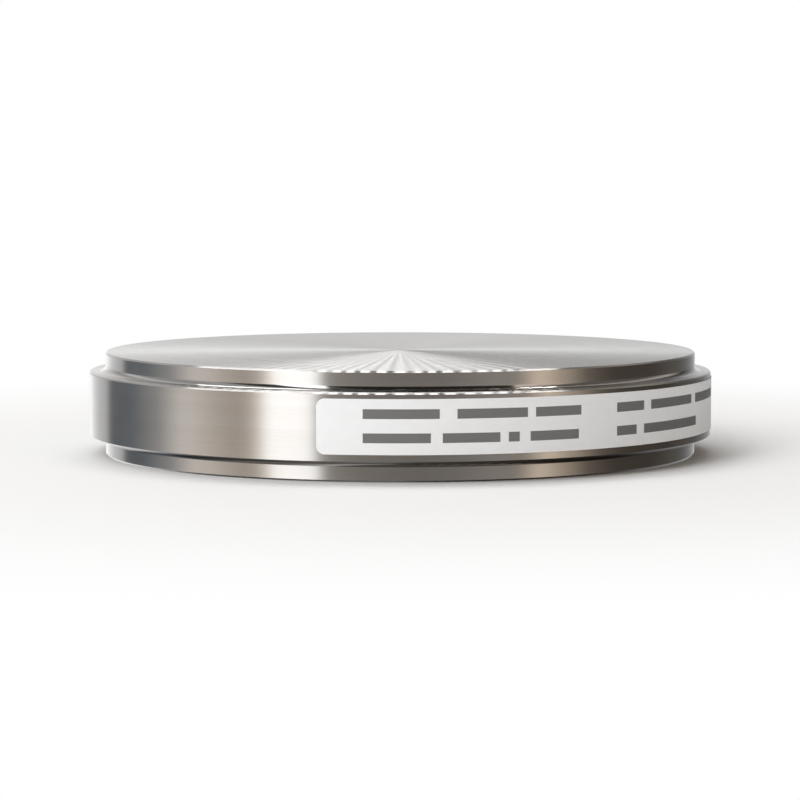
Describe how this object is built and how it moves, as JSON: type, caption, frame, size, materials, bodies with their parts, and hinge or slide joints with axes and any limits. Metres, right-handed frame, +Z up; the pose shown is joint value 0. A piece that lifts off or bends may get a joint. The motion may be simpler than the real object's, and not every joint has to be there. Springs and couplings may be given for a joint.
{
  "type": "dental milling disc",
  "caption": "Flat round titanium disc with a gripping collar between two narrower steps and a label on the rim, milled into dental parts.",
  "frame": {"origin": "centre of the underside, on the surface that the disc lies on", "axes": "+Z up along the turning axis; -Y is the side that the camera faces, where the label begins just left of the middle and runs towards +X"},
  "size_m": [0.0981, 0.0981, 0.016],
  "materials": {
    "turned_titanium": "fine turned, bright",
    "label_film": "smooth white, slightly glossy"
  },
  "bodies": {
    "root": {"turned_blank": "turned_titanium", "rim_label": "label_film"}
  },
  "joints": []
}
